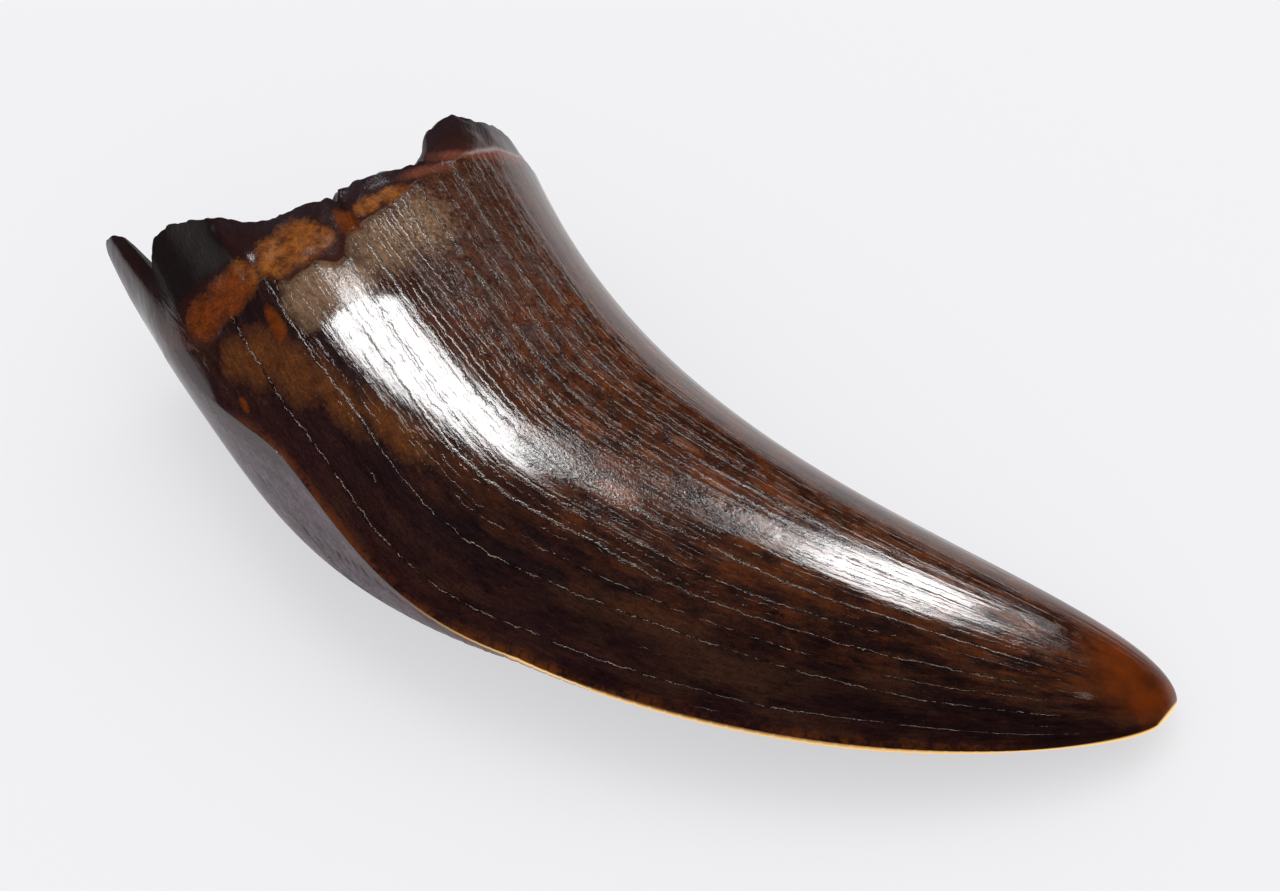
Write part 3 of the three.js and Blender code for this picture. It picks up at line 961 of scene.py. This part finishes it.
# the front face's grey among these is a painted reflection
for here, colour in ((haze, "haze"), (oliveParts, "olive"), (emberAll, "ember"),
                     (kept["frontFace"], "frontFace"), (tanHere, "tan"), (brownHere, "tanBrown")):
    stained = add("Mix", {0: here, 6: stained, 7: colour})
fibreGrit = add("Mix", {0: 0.4, 2: fibres, 3: grit})
fibreShade = add("MapRange", {0: fibreGrit, 1: 0.34, 2: 0.66, 3: 0.5, 4: 1.5})
fleckShade = add("MapRange", {0: speckle, 1: 0.4, 2: 0.6, 3: 0.66, 4: 1.34})
fleckHere = add("Mix", {0: kept["crowded"], 2: 1.0, 3: fleckShade})
flecked = add("Math", {0: fibreShade, 1: fleckHere}, "MULTIPLY")
fibred = add("VectorMath", {0: stained, "Scale": flecked}, "SCALE")
amberShare = add("Math", {0: mottle, 1: 0.7, 2: kept["amber"]}, "MULTIPLY_ADD")
amberHere = add("MapRange", {0: amberShare, 1: 0.45, 2: 1.3}, interpolation_type="SMOOTHSTEP")
tipDepth = add("MapRange", {0: tipClouds, 1: 0.32, 2: 0.66})
tipColour = add("Mix", {0: tipDepth, 6: "tipDeep", 7: "tip"})
tipped = add("Mix", {0: amberHere, 6: fibred, 7: tipColour})
lipShade = add("MapRange", {0: lipOnEnamel, 3: 1.0, 4: 0.3})
shadowed = add("VectorMath", {0: tipped, "Scale": lipShade}, "SCALE")
# painted glints: the cracks' pale colour comes and goes in dashes, standing in for light caught along
# them
glints = add("MapRange", {0: speckle, 1: 0.38, 2: 0.62, 3: 0.15, 4: 1.0})
breaks = add("MapRange", {0: mottle, 1: 0.42, 2: 0.56, 3: 0.05, 4: 1.0})
brokenLine = add("Math", {0: lineOnEnamel, 1: breaks}, "MULTIPLY")
dustAndGlintHere = add("Math", {0: breaks, 1: glints}, "MULTIPLY")
crackColour = add("Mix", {0: dustAndGlintHere, 6: "crackShadow", 7: "crackDustAndGlint"})
lined = add("Mix", {0: lineOnEnamel, 6: shadowed, 7: crackColour})
enamelColour = add("Mix", {0: kept["frontCrack"], 6: lined, 7: "rim"})

# Colour of bare dentine, its rust and the broken rim.
rustHere = raggedPatch("rust", speckle, 0.7, 0.7, 1.15)
rustDepth = add("MapRange", {0: mottle, 1: 0.36, 2: 0.6})
redRust = add("MapRange", {0: kept["rustRed"], 1: 0.2, 2: 0.8, 4: 0.9})
rustPale = add("Mix", {0: redRust, 6: "rust", 7: "rustRed"})
rustColour = add("Mix", {0: rustDepth, 6: "rustDeep", 7: rustPale})
rimHere = add("MapRange", {0: kept["aboveBreak"], 1: 0.3, 2: 0.8, 3: 1.0, 4: 0.0})
besideEnamel = add("MapRange", {0: kept["aboveEnamel"], 1: -1.3, 2: -0.2, 4: 0.8})
dentineColour = add("Mix", {0: besideEnamel, 6: "dentine", 7: "dentineBrown"})
# painted reflection of the floor, laid at half strength onto the dentine beside the front face
faceReflection = add("Math", {0: kept["frontFace"], 1: 0.5}, "MULTIPLY")
for here, colour in ((rimHere, "rim"), (faceReflection, "frontFace"), (kept["chipped"], "chip")):
    dentineColour = add("Mix", {0: here, 6: dentineColour, 7: colour})
worn = add("Mix", {0: onEnamel, 6: dentineColour, 7: enamelColour})
reddishHere = raggedPatch("reddish", ragged, 0.5, 0.6, 1.3, 0.95)
banded = add("Mix", {0: reddishHere, 6: worn, 7: "reddish"})
rusted = add("Mix", {0: rustHere, 6: banded, 7: rustColour})
nearEdge = add("MapRange", {0: kept["fromFront"], 1: 0.06, 2: 0.24, 3: 1.0, 4: 0.0})
edgeStainParts = add("Math", {0: nearEdge, 1: kept["besideFront"]}, "MULTIPLY")
edgeStainNoise = add("Math", {0: clouds, 1: 1.4, 2: ragged}, "MULTIPLY_ADD")
edgeStainHere = add("MapRange", {0: edgeStainNoise, 1: 1.36, 2: 1.6, 4: 0.85})
edgeStain = add("Math", {0: edgeStainParts, 1: edgeStainHere}, "MULTIPLY")
edgeStained = add("Mix", {0: edgeStain, 6: rusted, 7: "edgeStain"})
bareGrit = add("MapRange", {0: grit, 1: 0.32, 2: 0.68, 3: 0.68, 4: 1.32})
gritShade = add("Mix", {0: onEnamel, 2: bareGrit, 3: 1.0})
skinColour = add("VectorMath", {0: edgeStained, "Scale": gritShade}, "SCALE")

# The cutting edge: a painted glow along it and on the tip's worn side, and painted amber spots at its
# serrations, where light would come through.
spotReach = add("MapRange", {0: kept["fromFront"], 1: 0.06, 2: 0.34, 3: 0.9, 4: 0.0})
spotParts = add("Math", {0: spotReach, 1: kept["denticle"]}, "MULTIPLY")
spotClouds = add("MapRange", {0: clouds, 1: 0.42, 2: 0.56, 3: 0.15, 4: 1.0})
spotNoise = add("Math", {0: breaks, 1: spotClouds}, "MULTIPLY")
spotHere = add("Math", {0: spotParts, 1: spotNoise}, "MULTIPLY")
spotted = add("Mix", {0: spotHere, 6: skinColour, 7: "edgeSpot"})
# the tip's side towards its worn facet gets the painted glow as well
towardFacet = add("VectorMath", {0: place, 1: tipFacet["facing"]}, "DOT_PRODUCT")
glowFrom, glowFull = (tipFacet["away"] + level for level in tipFacet["glow"])
onFacet = add("MapRange", {0: towardFacet, 1: glowFrom, 2: glowFull})
glowHere = add("Math", {0: kept["edgeGlow"], 1: onFacet}, "MAXIMUM")
glowing = add("Mix", {0: glowHere, 6: spotted, 7: "edgeGlow"})

# The break: layers of dentine, rusty crystals and the dark cavity.
insideHere = add("MapRange", {0: kept["broken"]})
ringPlace = add("Math", {0: mottle, 1: 0.35, 2: kept["inward"]}, "MULTIPLY_ADD")
rings = add("TexNoise", {"W": add("Math", {0: ringPlace, 1: 16.0}, "MULTIPLY"),
                         "Scale": 1.0, "Detail": 3.0, "Roughness": 0.7}, noise_dimensions="1D")
ringShade = add("MapRange", {0: rings, 1: 0.35, 2: 0.65})
inside = add("Mix", {0: ringShade, 6: "innerDark", 7: "innerBrown"})
crystalShare = add("Math", {0: speckle, 1: 0.8, 2: mottle}, "MULTIPLY_ADD")
crystals = add("MapRange", {0: crystalShare, 1: 0.98, 2: 1.14, 4: 0.8})
shell = add("MapRange", {0: kept["inward"], 1: 0.03, 2: 0.09, 3: 1.0, 4: 0.0})
hollow = add("MapRange", {0: kept["broken"], 1: 1.0, 2: 2.0, 4: 0.8})
for here, colour in ((crystals, "innerRust"), (shell, "rim"), (hollow, "cavity")):
    inside = add("Mix", {0: here, 6: inside, 7: colour})
insideShade = add("MapRange", {0: grit, 1: 0.32, 2: 0.68, 3: 0.6, 4: 1.4})
insideColour = add("VectorMath", {0: inside, "Scale": insideShade}, "SCALE")
finalColour = add("Mix", {0: insideHere, 6: glowing, 7: insideColour})

# the painted glow is also given off as emission
shine = add("Mix", {0: glowHere, 6: (0, 0, 0, 1), 7: "edgeGlow"})

# Gloss.
scuffHere = raggedPatch("scuff", mottle, 0.9, 0.5, 1.1)
enamelRough = add("MapRange", {0: scuffHere, 3: fossil["polished"], 4: fossil["scuffed"]})
crackRough = add("Math", {0: lineOnEnamel, 1: 0.25, 2: enamelRough}, "MULTIPLY_ADD")
faceRough = add("Math", {0: kept["frontFace"], 1: 0.2, 2: crackRough}, "MULTIPLY_ADD")
dentineRough = add("MapRange", {0: kept["chipped"], 3: fossil["bare"], 4: fossil["freshChip"]})
skinRough = add("MapRange", {0: onEnamel, 3: dentineRough, 4: faceRough})
finalRough = add("MapRange", {0: insideHere, 3: skinRough, 4: fossil["inside"]})

# Relief too fine for the mesh, in millimetres.
grooves = add("Math", {0: brokenLine, 1: -fossil["crackDepth"]}, "MULTIPLY")
lipped = add("Math", {0: lipOnEnamel, 1: fossil["lip"], 2: grooves}, "MULTIPLY_ADD")
pits = stretchedNoise((1 / fossil["pitSize"], 1 / fossil["pitSize"], 0.4 / fossil["pitSize"]),
                      3.0, 0.7)
pitShare = add("MapRange", {0: scuffHere, 3: 0.2, 4: 1.7})
bareShare = add("MapRange", {0: onEnamel, 3: 1.3, 4: pitShare})
sparkled = add("Math", {0: kept["sparkle"], 1: 3.5, 2: bareShare}, "MULTIPLY_ADD")
pitted = add("Math", {0: pits, 1: sparkled}, "MULTIPLY")
threadsHere = add("Math", {0: threads, 1: onEnamel}, "MULTIPLY")
threaded = add("Math", {0: threadsHere, 1: fossil["threadDepth"], 2: lipped}, "MULTIPLY_ADD")
relieved = add("Math", {0: pitted, 1: fossil["pitDepth"], 2: threaded}, "MULTIPLY_ADD")
bump = add("Bump", {"Height": relieved, "Distance": 0.001, "Strength": 1.0})

shader = add("BsdfPrincipled", {
    "Base Color": finalColour, "Roughness": finalRough, "Normal": bump,
    "IOR": fossil["ior"], "Emission Color": shine, "Emission Strength": fossil["edgeShine"]})
add("OutputMaterial", {"Surface": shader})
mesh.materials.append(material)
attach(tooth, "root")
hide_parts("tooth")
print("fossil enamel made")


# The floor: matt paper, lit from beneath as well, so that shadows stay pale.
paper = {
    "half": 3.0,  # metres
    "colour": "#9C9C9E",
    "roughness": 0.9,
    "glow": "#EEEEF0",
    "glowStrength": 0.64,
}
floorMesh = bpy.data.meshes.new("floor")
half = paper["half"]
floorMesh.from_pydata([(-half, -half, 0), (half, -half, 0), (half, half, 0), (-half, half, 0)], [],
                      [(0, 1, 2, 3)])
floor = inScene("floor", floorMesh)
floorFinish = bpy.data.materials.new("palePaper")
floorFinish.use_nodes = True
sockets = floorFinish.node_tree.nodes["Principled BSDF"].inputs
sockets["Base Color"].default_value = linear(paper["colour"])
sockets["Roughness"].default_value = paper["roughness"]
sockets["Emission Color"].default_value = linear(paper["glow"])
sockets["Emission Strength"].default_value = paper["glowStrength"]
floorMesh.materials.append(floorFinish)


# Light. The windows are seen in the gloss alone, and give the highlights their shape.
lamps = {
    "overhead": {  # even light that makes the soft shadow
        "toward": (0.25, 0.3, 1.0), "away": 0.9, "size": (0.9, 0.9), "watts": 1.6,
        "seenIn": "diffuse", "long": (1, 0, 0)},
    "window": {
        "toward": (-0.298, 0.166, 0.94), "away": 0.25, "size": (0.134, 0.102), "watts": 0.96,
        "seenIn": "gloss", "long": (0.967, -0.05, 0.251)},
    "farWindow": {
        "toward": (0.2385, 0.7181, 0.6538), "away": 0.25, "size": (0.105, 0.034), "watts": 0.28,
        "seenIn": "gloss", "long": (-0.056, 0.667, -0.743)},
}
studioLight = 0.8  # grey light from all round
target = Vector((0.03, 0.47, 2.92)) * 0.001  # what the lamps and the camera face, near the middle
for name, lamp in lamps.items():
    data = bpy.data.lights.new(name, "AREA")
    data.shape = "RECTANGLE"
    data.size, data.size_y = lamp["size"]
    data.energy = lamp["watts"]
    light = inScene(name, data)
    back = Vector(lamp["toward"]).normalized()
    long = Vector(lamp["long"])
    long = (long - back * long.dot(back)).normalized()
    short = back.cross(long)
    facing = Matrix((long, short, back)).transposed().to_4x4()
    light.matrix_world = Matrix.Translation(target + back * lamp["away"]) @ facing
    light.visible_glossy = lamp["seenIn"] == "gloss"
    light.visible_diffuse = lamp["seenIn"] == "diffuse"
    light.visible_camera = False

world = bpy.data.worlds.new("studio")
bpy.context.scene.world = world
world.use_nodes = True
world.node_tree.nodes["Background"].inputs["Color"].default_value = (*[studioLight] * 3, 1)
world.cycles_visibility.glossy = False
bpy.context.scene.view_settings.view_transform = "Standard"
print("lights placed")


# The camera.
view = {
    "azimuth": 25.0,
    "elevation": 52.0,
    "away": 100.16,
    "lens": 100.0,
    "sensor": 36.0,
    "clip": (0.001, 20.0),  # metres
}
turned, raised = math.radians(view["azimuth"]), math.radians(view["elevation"])
back = Vector((math.sin(turned) * math.cos(raised), -math.cos(turned) * math.cos(raised),
               math.sin(raised)))
cameraData = bpy.data.cameras.new("camera")
cameraData.lens = view["lens"]
cameraData.sensor_width = view["sensor"]
cameraData.clip_start, cameraData.clip_end = view["clip"]
camera = inScene("camera", cameraData)
camera.location = target + back * view["away"] * 0.001
camera.rotation_mode = "QUATERNION"
camera.rotation_quaternion = (-back).to_track_quat("-Z", "Y")
bpy.context.scene.camera = camera
